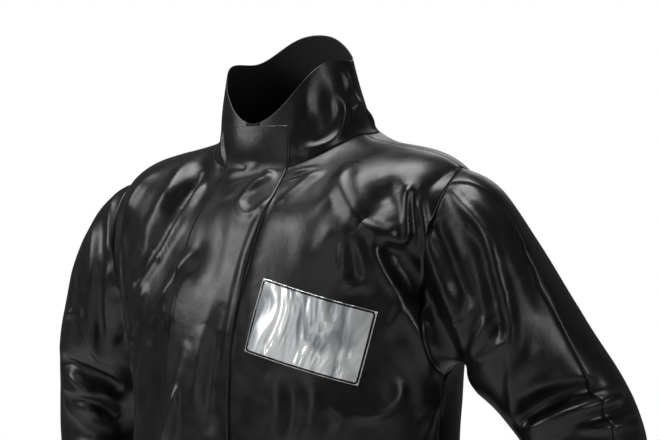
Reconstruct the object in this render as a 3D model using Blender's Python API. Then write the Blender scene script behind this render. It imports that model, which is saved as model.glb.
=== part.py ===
"""Two-piece rain suit as it stands when worn, with nobody in it: a jacket and a pair of over-trousers.

Every size below is in millimetres, and MM turns it to metres. The wearer would face -Y, so the left sleeve is
at +X. The origin is where the suit hangs, midway between the shoulders at the height of the neck's root.

The cloth is first laid out as welded sheets: the jacket's body, collar and sleeves on one, the trousers on
the other. Folds are raised in a whole sheet, so that they run on over a seam. Each sheet is then cut along
its seams into the pieces that a maker would sew, and each piece gets its wall.
"""

import math
from collections import namedtuple

import bmesh
import bpy
from mathutils import Vector
from mathutils.bvhtree import BVHTree

MM = 0.001

# Cloth
WALL = 1.3
SEAM_GAP = 0.7
LAYER_GAP = 0.5

# Closure down the front
ZIP_HALF_WIDTH = 9.0
FLAP_HALF_WIDTH = 50.0
FLAP_TOP = 12.0
FLAP_LIES_ON = ("front_left", "front_right", "zip_tape", "collar")

# Chest panel
PANEL_WIDTH = 144.0
PANEL_HEIGHT = 88.0
PANEL_TILT = 15.0
PANEL_FACING = 19.0
PANEL_CENTRE = (126.5, -133.0, -228.5)

# Rings of the jacket from hem to collar top. A ring is a rounded rectangle in plan. front and back are
# its reach from the origin, and its height goes from z_front through z_side to z_back. A high bow
# keeps the front's height to a short stretch, and drift is how far the zip has swung to the left.
Ring = namedtuple("Ring", "name half_width front back z_front z_side z_back square bow drift")
JACKET_RINGS = (
    Ring("hem", 226, 160, 142, -726, -722, -726, 2.35, 2.0, -24),
    Ring("hip", 221, 156, 140, -610, -610, -610, 2.40, 2.0, -28),
    Ring("waist", 213, 151, 134, -485, -485, -485, 2.40, 2.0, -32),
    Ring("ribs", 213, 150, 133, -372, -372, -372, 2.40, 2.0, -33),
    Ring("armpit", 224, 152, 137, -286, -291, -287, 2.40, 2.0, -31),
    Ring("under_arm", 236, 151, 137, -226, -192, -216, 2.45, 2.0, -22),
    Ring("blade", 246, 143, 131, -170, -112, -148, 2.38, 2.0, -11),
    Ring("shoulder_tip", 252, 131, 120, -115, -34, -78, 2.20, 1.8, -4),
    Ring("yoke", 204, 115, 108, -85, -18, -40, 2.24, 1.6, 0),
    Ring("slope", 152, 98, 94, -64, -8, -14, 2.32, 1.4, 0),
    Ring("neck", 102, 80, 80, -42, 2, 14, 2.40, 1.3, 0),
    Ring("collar_middle", 90, 83, 54, -14, 45, 70, 2.40, 2.6, 0),
    Ring("collar_top", 80, 82, 37, 14, 92, 128, 2.40, 3.0, 0),
)
ARMPIT, TIP, NECK, COLLAR_TOP = 4, 7, 10, 12
ARMHOLE_HALF_TURN = 21.0
ARMHOLE_ROUNDING = 0.7

# Sections of a sleeve beyond the armhole. lean turns the over-arm side from straight up to straight out
# and on down, and the four last columns are the reach to each side of the centre.
Section = namedtuple("Section", "name x y z lean over under front back")
SLEEVE_SECTIONS = (
    Section("cap", 276, 6, -164, 14, 115, 105, 76, 60),
    Section("upper", 292, 20, -198, 32, 90, 95, 80, 74),
    Section("biceps", 308, 38, -244, 48, 83, 80, 80, 78),
    Section("middle", 330, 55, -288, 56, 80, 62, 77, 77),
    Section("lower", 350, 73, -330, 66, 80, 50, 77, 77),
    Section("elbow", 361, 84, -372, 86, 81, 52, 76, 76),
    Section("forearm", 355, 76, -414, 103, 76, 52, 71, 71),
    Section("below_elbow", 337, 54, -466, 109, 69, 65, 66, 66),
    Section("wrist", 315, 30, -524, 110, 62, 59, 60, 60),
    Section("cuff", 294, 10, -586, 110, 54, 52, 53, 53),
)
# SWEEP turns the over-arm side forwards. The right arm is held further out, fully from SPREAD_BY on.
SWEEP = -8.0
RIGHT_ARM_SPREAD = 23.0
SPREAD_BY = 2.6

# Rows of a trouser leg. A leg's ring is centred at x, and above the crotch it is cut off at the middle.
Leg = namedtuple("Leg", "name z x half_width front back")
LEG_ROWS = (
    Leg("band_top", -452, 0, 161, 105, 104),
    Leg("band_foot", -492, 0, 165, 108, 106),
    Leg("hip", -585, 0, 176, 112, 112),
    Leg("seat", -655, 34, 148, 116, 116),
    Leg("rise", -712, 72, 118, 114, 114),
    Leg("crotch", -766, 97, 97, 106, 110),
    Leg("thigh", -830, 108, 97, 104, 108),
    Leg("over_knee", -980, 116, 88, 95, 98),
    Leg("knee", -1080, 119, 84, 92, 88),
    Leg("shin", -1230, 122, 79, 84, 84),
    Leg("calf", -1380, 124, 77, 80, 82),
    Leg("ankle", -1502, 126, 76, 80, 82),
)
BAND_FOOT, CROTCH = 1, 5

JACKET_PIECES = (
    "back",
    "front_left",
    "front_right",
    "collar",
    "sleeve_front_left",
    "sleeve_back_left",
    "sleeve_front_right",
    "sleeve_back_right",
)
TROUSER_PIECES = (
    "waistband",
    "trouser_front_left",
    "trouser_back_left",
    "trouser_front_right",
    "trouser_back_right",
)

# The largest folds. Each is a line through three points, seen by an eye that stands at seen_from degrees
# round from the front: x is to the eye's right and z up from the neck's root. zone names the pieces that
# the fold runs over. A fold is a ridge where its height is above zero, and a furrow where it is below.
EYE_DISTANCE = 3100.0
EYE_HEIGHT = -100.0
FOLD_STEPS = 8
FOLD_DEPTH = 1.35
Fold = namedtuple("Fold", "name zone seen_from x0 z0 x1 z1 x2 z2 width height")
LEFT_SLEEVE = "sleeve_front_left sleeve_back_left"
RIGHT_SLEEVE = "sleeve_front_right sleeve_back_right"
LEFT_SHOULDER = "front_left sleeve_front_left sleeve_back_left"
RIGHT_SHOULDER = "front_right sleeve_front_right"
FOLDS = (
    Fold("left_shoulder_point", LEFT_SHOULDER + " back", 40, 168, -32, 208, -60, 238, -82, 50, 9),
    Fold("right_shoulder_slope", "front_right back", 40, -108, -22, -137, -31, -163, -42, 40, 4),
    Fold("right_shoulder_point", RIGHT_SHOULDER + " back", 40, -160, -42, -185, -56, -210, -76, 46, 8),
    Fold("right_elbow_out", RIGHT_SLEEVE, 40, -280, -216, -284, -254, -281, -296, 46, 7),
    Fold("chest_bowl_rim", "front_left", 40, 71, -34, 62, -80, 124, -119, 34, 8),
    Fold("chest_bowl_hook", LEFT_SHOULDER, 40, 124, -119, 138, -96, 143, -54, 26, 9),
    Fold("chest_bowl", "front_left", 40, 92, -52, 97, -76, 116, -92, 36, -7),
    Fold("chest_pit", LEFT_SHOULDER, 40, 124, -138, 156, -187, 193, -254, 38, -12),
    Fold("chest_pit_edge", "front_left", 40, 99, -116, 101, -152, 128, -195, 26, 7),
    Fold("chest_tent", "front_left", 40, 59, -101, 61, -138, 66, -172, 24, 6),
    Fold("left_cap_ridge", LEFT_SLEEVE, 40, 144, -58, 156, -126, 199, -217, 30, 9),
    Fold("left_cap_furrow", LEFT_SLEEVE, 40, 166, -76, 203, -162, 235, -248, 32, -8),
    Fold("left_arm_ridge", LEFT_SLEEVE, 40, 180, -63, 237, -138, 260, -254, 30, 10),
    Fold("left_over_arm", LEFT_SLEEVE, 40, 193, -46, 272, -144, 339, -266, 26, 5),
    Fold("left_elbow_furrow", LEFT_SLEEVE, 40, 376, -304, 315, -317, 262, -351, 32, -13),
    Fold("left_elbow_ridge", LEFT_SLEEVE, 40, 400, -320, 351, -338, 290, -370, 30, 9),
    Fold("left_forearm_furrow", LEFT_SLEEVE, 40, 380, -372, 340, -392, 292, -428, 30, -8),
    Fold("right_chest_ridge", "front_right", 40, -130, -46, -161, -83, -176, -144, 28, 7),
    Fold("right_chest_furrow", "front_right", 40, -112, -42, -143, -95, -166, -168, 28, -7),
    Fold("right_rib_ridge", "front_right", 40, -118, -135, -149, -168, -163, -217, 28, 6),
    Fold("right_side_fall", "front_right", 40, -145, -300, -152, -345, -162, -392, 30, 7),
    Fold("right_arm_streak", RIGHT_SLEEVE, 40, -226, -77, -232, -138, -228, -199, 26, 7),
    Fold("right_arm_fall", RIGHT_SLEEVE, 40, -258, -120, -262, -190, -254, -262, 26, 6),
    Fold("right_elbow_furrow", RIGHT_SLEEVE, 40, -292, -278, -246, -290, -213, -311, 30, -11),
    Fold("right_elbow_ridge", RIGHT_SLEEVE, 40, -292, -315, -252, -327, -216, -345, 28, 8),
    Fold("under_panel_swag", "front_left", 40, 40, -330, 90, -342, 122, -300, 32, 6),
    Fold("front_fall", "front_left", 40, 72, -380, 84, -470, 78, -580, 40, 8),
    Fold("front_fall_right", "front_right", 320, -60, -360, -72, -460, -66, -560, 40, 8),
    Fold("left_side_fall", "front_left back", 90, 20, -330, 30, -430, 16, -560, 40, 8),
    Fold("right_hip_fall", "front_right back", 270, -10, -340, -24, -450, -12, -600, 40, 8),
    Fold("left_blade_ridge", "back", 160, 140, -100, 120, -180, 60, -250, 34, 8),
    Fold("left_blade_furrow", "back", 160, 100, -90, 84, -170, 30, -230, 32, -7),
    Fold("right_blade_ridge", "back", 200, -146, -96, -118, -188, -66, -262, 34, 8),
    Fold("right_blade_furrow", "back", 200, -104, -88, -80, -164, -34, -240, 32, -7),
    Fold("back_waist_swag", "back", 180, -90, -380, 0, -410, 96, -376, 36, 7),
    Fold("back_fall_left", "back", 180, 70, -440, 84, -540, 72, -660, 40, 8),
    Fold("back_fall_right", "back", 180, -62, -450, -80, -530, -70, -640, 40, 7),
    Fold("left_elbow_back", LEFT_SLEEVE, 150, 210, -330, 250, -346, 300, -330, 30, 8),
    Fold("right_elbow_back", RIGHT_SLEEVE, 210, -330, -330, -270, -348, -226, -332, 30, 8),
)

LEFT_LEG = "trouser_front_left trouser_back_left"
RIGHT_LEG = "trouser_front_right trouser_back_right"
TROUSER_FOLDS = (
    Fold("left_knee_ridge", LEFT_LEG, 0, 60, -1040, 116, -1062, 180, -1036, 34, 7),
    Fold("left_knee_furrow", LEFT_LEG, 0, 64, -1084, 120, -1104, 176, -1080, 30, -6),
    Fold("right_knee_ridge", RIGHT_LEG, 0, -182, -1050, -124, -1074, -64, -1046, 34, 7),
    Fold("right_knee_furrow", RIGHT_LEG, 0, -178, -1094, -120, -1112, -62, -1090, 30, -6),
    Fold("left_knee_back", LEFT_LEG, 180, -176, -1070, -120, -1084, -66, -1066, 34, 7),
    Fold("right_knee_back", RIGHT_LEG, 180, 64, -1060, 118, -1078, 178, -1058, 34, 7),
    Fold("left_shin_fall", LEFT_LEG, 0, 116, -1160, 124, -1280, 118, -1430, 36, 7),
    Fold("right_shin_fall", RIGHT_LEG, 0, -110, -1170, -122, -1300, -126, -1440, 36, 7),
)

# How finely each stretch is divided, and how many columns the over-arm seam lies ahead of the sleeve's top
BODY_ROWS = 13
ARMHOLE_ROWS = 9
SHOULDER_ROWS = 5
COLLAR_ROWS = 5
FRONT_COLUMNS = 7
BACK_COLUMNS = 9
SLEEVE_ROWS = 19
OVER_ARM_SEAM = 1
LEG_COLUMNS = 6
RISE_ROWS = 7
LEG_ROWS_CUT = 12

# How the cloth is eased beside the seams of the armholes and the crotch: cells to each side, rounds, and
# the share of a step in towards the points beside it and then out again
RELAXED_CELLS = 3
ARMHOLE_ROUNDS = 9
CROTCH_ROUNDS = 9
EASE_IN = 0.55
EASE_OUT = -0.50

# Colours of the finished pieces: linear red, green and blue, then roughness and metallic value
FINISHES = {
    "coated_cloth": ((0.012, 0.012, 0.013), 0.38, 0.0),
    "silver_film": ((0.55, 0.57, 0.58), 0.30, 0.6),
    "zip_tape": ((0.010, 0.010, 0.011), 0.75, 0.0),
}


def eased(rows, level):
    """A table's sizes at a level between its rows, on a smooth curve through them."""
    last = len(rows) - 1
    first = min(int(level), last - 1)
    t = level - first
    four = [rows[min(max(k, 0), last)] for k in range(first - 1, first + 3)]
    sizes = []
    for a, b, c, d in zip(*(row[1:] for row in four)):
        sizes.append(
            0.5 * (2 * b + (c - a) * t + (2 * a - 5 * b + 4 * c - d) * t**2 + (3 * b - a - 3 * c + d) * t**3)
        )
    return type(rows[0])("between", *sizes)


def raised(value, power):
    """A sine or cosine raised to a power with its sign kept, which squares off an ellipse."""
    return math.copysign(abs(value) ** power, value)


def jacket_point(turn, level):
    """A point of the body or collar, turn degrees round from the front towards the left arm."""
    ring = eased(JACKET_RINGS, level)
    sine, cosine = math.sin(math.radians(turn)), math.cos(math.radians(turn))
    reach, end = (ring.front, ring.z_front) if cosine > 0 else (ring.back, ring.z_back)
    x = ring.half_width * raised(sine, 2 / ring.square)
    y = -reach * raised(cosine, 2 / ring.square)
    z = ring.z_side + (end - ring.z_side) * abs(cosine) ** ring.bow
    return Vector((x, y, z))


def turn_at(across, level):
    """The turn at which a front ring is this far across from the middle."""
    ring = eased(JACKET_RINGS, level)
    share = min(abs(across) / ring.half_width, 1.0)
    return math.degrees(math.asin(share ** (ring.square / 2))) * (1 if across > 0 else -1)


def armhole_cut(level):
    """How many degrees before the side a front or back stops, to leave the armhole."""
    middle, half = (ARMPIT + TIP) / 2, (TIP - ARMPIT) / 2
    share = min(abs(level - middle) / half, 1.0)
    return ARMHOLE_HALF_TURN * (1 - share**2) ** ARMHOLE_ROUNDING


def body_levels():
    """The level of each row from hem to neck, with a row at each end of the armhole."""
    low = [ARMPIT * k / BODY_ROWS for k in range(BODY_ROWS)]
    beside = [ARMPIT + (TIP - ARMPIT) * k / ARMHOLE_ROWS for k in range(ARMHOLE_ROWS)]
    top = [TIP + (NECK - TIP) * k / SHOULDER_ROWS for k in range(SHOULDER_ROWS + 1)]
    return low + beside + top


def front_turns(level, side):
    """Turns of one row of a front, from the zip's edge to the side seam. side is 1 for the left."""
    drift = eased(JACKET_RINGS, level).drift
    inner = turn_at(drift + side * ZIP_HALF_WIDTH, level)
    flap = turn_at(drift + side * FLAP_HALF_WIDTH, level)
    outer = side * (90 - armhole_cut(level))
    middle = inner + (flap - inner) * 0.5
    rest = [flap + (outer - flap) * k / FRONT_COLUMNS for k in range(FRONT_COLUMNS + 1)]
    return [inner, middle] + rest


def back_turns(level):
    """Turns of one row of the back, from the left side seam round to the right one."""
    start = 90 + armhole_cut(level)
    span = 2 * (180 - start)
    return [start + span * k / (2 * BACK_COLUMNS) for k in range(2 * BACK_COLUMNS + 1)]


def sleeve_ring(section, ahead, side, columns):
    """Points round a sleeve section, from under the arm over the front to the top, and back behind it."""
    lean, sweep = math.radians(section.lean), math.radians(SWEEP)
    over = Vector((math.sin(lean) * math.cos(sweep), math.sin(lean) * math.sin(sweep), math.cos(lean)))
    forward = ahead.cross(over).normalized()
    centre = Vector((section.x, section.y, section.z))
    ring = []
    for k in range(2 * columns):
        angle = math.pi * (k / columns - 0.5)
        up = section.over if math.sin(angle) > 0 else section.under
        out = section.front if math.cos(angle) > 0 else section.back
        point = centre + over * up * math.sin(angle) + forward * out * math.cos(angle)
        ring.append(Vector((side * point.x, point.y, point.z)))
    return ring


def sleeve_rows(armhole, side):
    """Rows of points down a sleeve. The first is the armhole itself."""
    centres = [Vector(section[1:4]) for section in SLEEVE_SECTIONS]
    rings = [armhole]
    for k, section in enumerate(SLEEVE_SECTIONS):
        ahead = centres[min(k + 1, len(centres) - 1)] - centres[max(k - 1, 0)]
        if side < 0:
            section = section._replace(x=section.x + RIGHT_ARM_SPREAD * min(k / SPREAD_BY, 1.0))
        rings.append(sleeve_ring(section, ahead.normalized(), side, len(armhole) // 2))
    rows = []
    for k in range(SLEEVE_ROWS + 1):
        level = (len(rings) - 1) * k / SLEEVE_ROWS
        rows.append([smooth_through([ring[j] for ring in rings], level) for j in range(len(armhole))])
    return rows


def smooth_through(points, level):
    """A point at this level on the smooth curve through a list of points."""
    last = len(points) - 1
    first = min(int(level), last - 1)
    t = level - first
    a, b, c, d = (points[min(max(k, 0), last)] for k in range(first - 1, first + 3))
    return 0.5 * (2 * b + (c - a) * t + (2 * a - 5 * b + 4 * c - d) * t**2 + (3 * b - a - 3 * c + d) * t**3)


def leg_levels():
    """The level of each row of the trousers, with one at the band's foot and one at the crotch."""
    rise = [BAND_FOOT + (CROTCH - BAND_FOOT) * k / RISE_ROWS for k in range(RISE_ROWS + 1)]
    ankle = len(LEG_ROWS) - 1
    below = [CROTCH + (ankle - CROTCH) * k / LEG_ROWS_CUT for k in range(1, LEG_ROWS_CUT + 1)]
    return [0.0] + rise + below


def leg_row(level, side):
    """One row round a leg: from the front middle or inseam round the outside to the back."""
    row = eased(LEG_ROWS, level)
    middle = row.x if level >= CROTCH else min(row.x, row.half_width)
    cut = math.acos(-min(max(middle, 0.0) / row.half_width, 1.0)) if level < CROTCH else math.pi
    points = []
    for k in range(2 * LEG_COLUMNS + 1):
        angle = cut * (k / LEG_COLUMNS - 1)
        reach = row.front if angle < 0 else row.back
        x = middle + row.half_width * math.cos(angle)
        points.append(Vector((side * max(x, 0.0), reach * math.sin(angle), row.z)))
    return points


class Sheet:
    """A welded sheet of cloth, whose faces know the piece that they are cut for."""

    def __init__(self):
        self.bm = bmesh.new()
        self.piece = self.bm.faces.layers.string.new("piece")

    def lay(self, rows, piece_of):
        """Adds a grid of cells over rows of points. piece_of names the piece of the cell at (row, column)."""
        verts = [[self.bm.verts.new(point) for point in row] for row in rows]
        for i in range(len(rows) - 1):
            for j in range(len(rows[0]) - 1):
                corners = (verts[i][j], verts[i][j + 1], verts[i + 1][j + 1], verts[i + 1][j])
                face = self.bm.faces.new(corners)
                face[self.piece] = piece_of(i, j).encode()

    def weld(self):
        """Joins the grids where they share points, turns the faces outwards and splits them in triangles."""
        bmesh.ops.remove_doubles(self.bm, verts=self.bm.verts, dist=0.01)
        bmesh.ops.recalc_face_normals(self.bm, faces=self.bm.faces)
        self.bm.normal_update()
        bmesh.ops.triangulate(self.bm, faces=self.bm.faces, quad_method="FIXED")
        self.bm.normal_update()

    def faces_of(self, pieces):
        """The faces of some pieces, with those of them that lie under the flap."""
        return [face for face in self.bm.faces if face[self.piece].decode().split("/")[0] in pieces]

    def relax(self, pieces, rounds):
        """Eases the cloth on both sides of the seams where some pieces meet the others."""
        near = set()
        for edge in self.bm.edges:
            inside = [face[self.piece].decode().split("/")[0] in pieces for face in edge.link_faces]
            if len(inside) == 2 and inside[0] != inside[1]:
                near.update(edge.verts)
        for _ in range(RELAXED_CELLS):
            near |= {edge.other_vert(vert) for vert in near for edge in vert.link_edges}
        free = [vert for vert in near if not vert.is_boundary]
        for share in (EASE_IN, EASE_OUT) * rounds:
            moves = []
            for vert in free:
                beside = [edge.other_vert(vert).co for edge in vert.link_edges]
                moves.append((sum(beside, Vector()) / len(beside) - vert.co) * share)
            for vert, move in zip(free, moves):
                vert.co += move
        self.bm.normal_update()

    def press(self, folds):
        """Raises the ridges and sinks the furrows of a table of folds."""
        moves = {}
        for fold in folds:
            faces = self.faces_of(fold.zone.split())
            verts = {vert for face in faces for vert in face.verts}
            line = laid_line(fold, faces)
            for vert in verts:
                share = nearness(vert.co, line, fold.width)
                if share > 0:
                    moves[vert] = moves.get(vert, 0.0) + fold.height * FOLD_DEPTH * share
        for vert, move in moves.items():
            vert.co += vert.normal * move
        self.bm.normal_update()

    def patch(self, pieces, under_flap=False):
        """A copy of the faces of some pieces, or of the part of them that lies under the flap."""
        copy = self.bm.copy()
        layer = copy.faces.layers.string["piece"]
        spare = []
        for face in copy.faces:
            piece, _, flap = face[layer].decode().partition("/")
            if piece not in pieces or (under_flap and not flap):
                spare.append(face)
        bmesh.ops.delete(copy, geom=spare, context="FACES")
        return copy


def laid_line(fold, faces):
    """Points of a fold's line on the sheet, where an eye to one side of the suit sees it."""
    surface = surface_of(faces)
    turn = math.radians(fold.seen_from)
    right = Vector((math.cos(turn), math.sin(turn), 0))
    eye = Vector((math.sin(turn), -math.cos(turn), 0)) * EYE_DISTANCE + Vector((0, 0, EYE_HEIGHT))
    line = []
    for k in range(FOLD_STEPS + 1):
        t = k / FOLD_STEPS
        shares = ((1 - t) * (1 - 2 * t), 4 * t * (1 - t), t * (2 * t - 1))
        x = shares[0] * fold.x0 + shares[1] * fold.x1 + shares[2] * fold.x2
        z = shares[0] * fold.z0 + shares[1] * fold.z1 + shares[2] * fold.z2
        hit = surface.ray_cast(eye, (right * x + Vector((0, 0, z)) - eye).normalized())[0]
        if hit:
            line.append(hit)
    return line


def surface_of(faces):
    corners = [vert.co for face in faces for vert in face.verts]
    return BVHTree.FromPolygons(corners, [(3 * k, 3 * k + 1, 3 * k + 2) for k in range(len(faces))])


def nearness(point, line, width):
    """How much of a fold's height a point gets: 1 on its line, 0 at its foot, less towards its ends."""
    best = 0.0
    for k in range(len(line) - 1):
        along = line[k + 1] - line[k]
        t = min(max((point - line[k]).dot(along) / max(along.length_squared, 1e-6), 0.0), 1.0)
        gone = (point - line[k] - along * t).length / width
        if gone < 1:
            place = (k + t) / (len(line) - 1)
            best = max(best, (1 - gone**2) ** 2 * (0.3 + 0.7 * math.sin(math.pi * place)))
    return best


def seam_moves(patch):
    """A small step for each vertex of a patch's edge, to its inside, which leaves the gap of a seam."""
    moves = {}
    for vert in patch.verts:
        if any(edge.is_boundary for edge in vert.link_edges):
            inside = sum((face.calc_center_median() - vert.co for face in vert.link_faces), Vector())
            inside -= vert.normal * inside.dot(vert.normal)
            moves[vert] = inside.normalized() * SEAM_GAP / 2
    return moves


def material(finish):
    found = bpy.data.materials.get(finish)
    if found:
        return found
    colour, roughness, metallic = FINISHES[finish]
    made = bpy.data.materials.new(finish)
    made.use_nodes = True
    shader = made.node_tree.nodes["Principled BSDF"]
    shader.inputs["Base Color"].default_value = (*colour, 1)
    shader.inputs["Roughness"].default_value = roughness
    shader.inputs["Metallic"].default_value = metallic
    return made


def sew(name, patch, normals, low, high, finish, steps):
    """Makes a piece of cloth of a patch of sheet, between two heights over it."""
    patch.verts.index_update()
    count = len(patch.verts)
    corners = []
    for height in (high, low):
        for vert in patch.verts:
            corners.append((vert.co + steps.get(vert, Vector()) + normals[vert] * height) * MM)
    faces = []
    for face in patch.faces:
        a, b, c = (vert.index for vert in face.verts)
        faces.append((a, b, c))
        faces.append((c + count, b + count, a + count))
    broad = len(faces)
    for edge in patch.edges:
        if edge.is_boundary:
            loop = edge.link_loops[0]
            a, b = loop.vert.index, loop.link_loop_next.vert.index
            faces.append((b, a, a + count))
            faces.append((b, a + count, b + count))
    mesh = bpy.data.meshes.new(name)
    mesh.from_pydata(corners, [], faces)
    for polygon in mesh.polygons:
        polygon.use_smooth = polygon.index < broad
    piece = bpy.data.objects.new(name, mesh)
    piece.data.materials.append(material(finish))
    bpy.context.collection.objects.link(piece)


def cut_and_sew(sheet, name, finish):
    """Cuts a piece out of its sheet and gives it its wall, inwards from the sheet."""
    patch = sheet.patch([name])
    on_sheet = {tuple(vert.co): vert.normal.copy() for vert in sheet.bm.verts}
    normals = {vert: on_sheet[tuple(vert.co)] for vert in patch.verts}
    patch.normal_update()
    sew(name, patch, normals, -WALL, 0.0, finish, seam_moves(patch))


def lay_over(name, patch, finish, planes):
    """Lays a piece over others, made from their own points moved out. planes trim it to its outline."""
    for place, out in planes:
        geometry = patch.verts[:] + patch.edges[:] + patch.faces[:]
        bmesh.ops.bisect_plane(
            patch, geom=geometry, dist=0.001, plane_co=place, plane_no=out, clear_outer=True
        )
    bmesh.ops.triangulate(patch, faces=patch.faces)
    patch.normal_update()
    normals = {vert: vert.normal.copy() for vert in patch.verts}
    sew(name, patch, normals, LAYER_GAP, LAYER_GAP + WALL, finish, {})


def jacket_sheet():
    """The jacket's body, collar and sleeves as one sheet."""
    sheet = Sheet()
    levels = body_levels()
    collar = [NECK + (COLLAR_TOP - NECK) * k / COLLAR_ROWS for k in range(COLLAR_ROWS + 1)]
    for side, word in ((1, "left"), (-1, "right")):
        for heights, piece in ((levels, "front_" + word), (collar, "collar")):
            rows = [[jacket_point(turn, level) for turn in front_turns(level, side)] for level in heights]
            sheet.lay(rows, lambda row, column: piece + "/flap" if column < 2 else piece)
    for heights, piece in ((levels, "back"), (collar, "collar")):
        rows = [[jacket_point(turn, level) for turn in back_turns(level)] for level in heights]
        sheet.lay(rows, lambda row, column: piece)
    for heights in (levels, collar):
        rows = []
        for level in heights:
            edges = [jacket_point(front_turns(level, side)[0], level) for side in (-1, 1)]
            rows.append(edges)
        sheet.lay(rows, lambda row, column: "zip_tape/flap")
    beside = [level for level in levels if ARMPIT <= level <= TIP + 1e-9]
    for side, word in ((1, "left"), (-1, "right")):
        ahead = [jacket_point(side * (90 - armhole_cut(level)), level) for level in beside]
        behind = [jacket_point(side * (90 + armhole_cut(level)), level) for level in beside]
        armhole = ahead + behind[-2:0:-1]
        rows = [row + row[:1] for row in sleeve_rows(armhole, side)]
        seam = len(armhole) // 2 - OVER_ARM_SEAM
        names = ("sleeve_front_" + word, "sleeve_back_" + word)
        sheet.lay(rows, lambda row, column: names[column >= seam])
    sheet.weld()
    return sheet


def trouser_sheet():
    """Both legs and the waistband as one sheet."""
    sheet = Sheet()
    levels = leg_levels()
    for side, word in ((1, "left"), (-1, "right")):
        rows = [leg_row(level, side) for level in levels]
        names = ("trouser_front_" + word, "trouser_back_" + word)
        sheet.lay(rows, lambda row, column: names[column >= LEG_COLUMNS] if row else "waistband")
    sheet.weld()
    return sheet


def panel_planes():
    """The four sides of the chest panel, square to the way it faces."""
    facing, tilt = math.radians(PANEL_FACING), math.radians(PANEL_TILT)
    level = Vector((math.cos(facing), math.sin(facing), 0))
    across = level * math.cos(tilt) - Vector((0, 0, math.sin(tilt)))
    up = level * math.sin(tilt) + Vector((0, 0, math.cos(tilt)))
    centre = Vector(PANEL_CENTRE)
    sides = ((across, PANEL_WIDTH), (-across, PANEL_WIDTH), (up, PANEL_HEIGHT), (-up, PANEL_HEIGHT))
    return [(centre + way * size / 2, way) for way, size in sides]


def build():
    for item in list(bpy.data.objects):
        bpy.data.objects.remove(item)
    jacket = jacket_sheet()
    jacket.relax((LEFT_SLEEVE + " " + RIGHT_SLEEVE).split(), ARMHOLE_ROUNDS)
    jacket.press(FOLDS)
    for name in JACKET_PIECES:
        cut_and_sew(jacket, name, "coated_cloth")
    cut_and_sew(jacket, "zip_tape", "zip_tape")
    flap = jacket.patch(FLAP_LIES_ON, under_flap=True)
    lay_over("storm_flap", flap, "coated_cloth", [(Vector((0, 0, FLAP_TOP)), Vector((0, 0, 1)))])
    lay_over("chest_panel", jacket.patch(["front_left"]), "silver_film", panel_planes())
    trousers = trouser_sheet()
    trousers.relax(LEFT_LEG.split(), CROTCH_ROUNDS)
    trousers.press(TROUSER_FOLDS)
    for name in TROUSER_PIECES:
        cut_and_sew(trousers, name, "coated_cloth")


build()
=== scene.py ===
import math
from collections import namedtuple

import bmesh
import bpy
import numpy as np
from mathutils import Matrix, Vector, noise
from mathutils.bvhtree import BVHTree


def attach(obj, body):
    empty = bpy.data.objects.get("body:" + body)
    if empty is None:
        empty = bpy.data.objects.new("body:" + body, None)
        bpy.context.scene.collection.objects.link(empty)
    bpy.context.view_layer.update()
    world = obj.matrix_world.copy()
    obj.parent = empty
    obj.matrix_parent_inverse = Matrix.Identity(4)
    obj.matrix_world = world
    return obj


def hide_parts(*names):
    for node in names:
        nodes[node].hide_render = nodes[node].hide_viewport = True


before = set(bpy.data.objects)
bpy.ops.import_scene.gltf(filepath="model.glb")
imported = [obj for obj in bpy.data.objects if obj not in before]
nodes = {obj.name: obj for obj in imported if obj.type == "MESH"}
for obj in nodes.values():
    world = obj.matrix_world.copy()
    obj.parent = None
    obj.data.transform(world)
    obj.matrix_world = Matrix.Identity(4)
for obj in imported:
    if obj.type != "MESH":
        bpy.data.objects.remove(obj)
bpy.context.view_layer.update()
MM = 0.001


# The jacket's shell: back, two fronts, zip tape, collar and four sleeve halves, laid edge to edge as they
# are before sewing. Each is taken from its solid, as the outer face of the cloth alone, and the seams are
# closed, so that creases can run on from one piece to the next.
JACKET = (
    "back",
    "front_left",
    "front_right",
    "zip_tape",
    "collar",
    "sleeve_front_left",
    "sleeve_back_left",
    "sleeve_front_right",
    "sleeve_back_right",
)
TROUSERS = (
    "waistband",
    "trouser_front_left",
    "trouser_back_left",
    "trouser_front_right",
    "trouser_back_right",
)
# A face with a side shorter than this is on the wall's rim
RIM = 1.45 * MM
SEAM_REACH = 1.15 * MM
FLAP_REACH = 1.5 * MM


def outer_face(node):
    """The outer face of a cloth solid as a bmesh, without its wall's rim and inner face."""
    cloth = bmesh.new()
    cloth.from_mesh(nodes[node].data)
    bmesh.ops.remove_doubles(cloth, verts=cloth.verts, dist=0.01 * MM)
    rim = [face for face in cloth.faces if min(edge.calc_length() for edge in face.edges) < RIM]
    bmesh.ops.delete(cloth, geom=rim, context="FACES")
    shells = []
    left = set(cloth.faces)
    while left:
        front = [left.pop()]
        shell = list(front)
        while front:
            beside = {other for edge in front.pop().edges for other in edge.link_faces if other in left}
            left -= beside
            front += beside
            shell += beside
        shells.append(shell)
    shells.sort(key=lambda shell: -sum(face.calc_area() for face in shell))
    bmesh.ops.delete(cloth, geom=[face for shell in shells[1:] for face in shell], context="FACES")
    return cloth


def surface_of(mesh, wanted=None):
    """A search tree over a mesh's faces, or over those whose material index is wanted."""
    chosen = [face for face in mesh.polygons if wanted is None or face.material_index in wanted]
    spots = [vert.co for vert in mesh.vertices]
    return BVHTree.FromPolygons(spots, [tuple(face.vertices) for face in chosen])


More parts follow.
